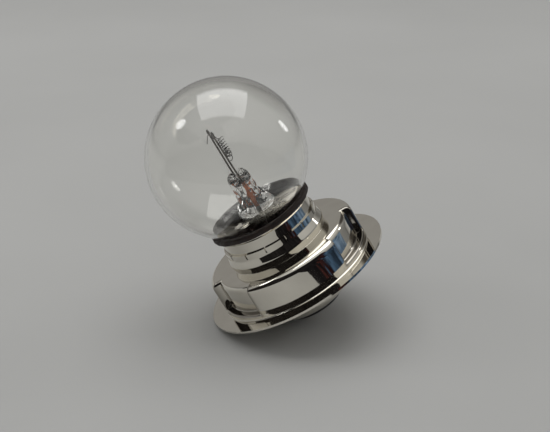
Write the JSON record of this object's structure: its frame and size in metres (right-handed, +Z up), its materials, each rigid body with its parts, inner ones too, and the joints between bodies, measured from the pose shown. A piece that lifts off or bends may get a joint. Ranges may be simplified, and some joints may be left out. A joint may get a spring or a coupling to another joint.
{
  "type": "miniature flange bulb",
  "caption": "Small clear globe lamp in a plated cap with a pressed flange collar, windowed locating hat, glass stem and hanging coil, lying on flange rim and base edge.",
  "frame": {"origin": "middle of the lamp's box on the surface that it lies on", "axes": "+Z up from that surface; the lamp's axis lies in the XZ plane and leans from +Z towards -X, where the globe is; +Y points away from the side seen in the picture"},
  "size_m": [0.0378, 0.0312, 0.0405],
  "materials": {
    "clear_glass": "clear blown glass",
    "plated_sheet": "bright plated sheet",
    "dark_cement": "dull dark brown cement",
    "black_insulator": "glossy black insulator",
    "contact_brass": "bright brass",
    "solder": "dull solder",
    "lead_wire": "drawn wire, darkened by heat",
    "seal_wire": "copper-red wire",
    "filament_wire": "dark grey coiled wire"
  },
  "bodies": {
    "root": {"base_insulator": "black_insulator", "basing_cement": "dark_cement", "cap_shell": "plated_sheet", "centre_outer_lead": "lead_wire", "contact_eyelet": "contact_brass", "contact_solder": "solder", "far_inner_lead": "lead_wire", "far_seal_wire": "seal_wire", "filament_coil": "filament_wire", "flange_collar": "plated_sheet", "glass_stem": "clear_glass", "globe_envelope": "clear_glass", "near_inner_lead": "lead_wire", "near_seal_wire": "seal_wire", "side_outer_lead": "lead_wire", "side_solder": "solder"}
  },
  "joints": []
}
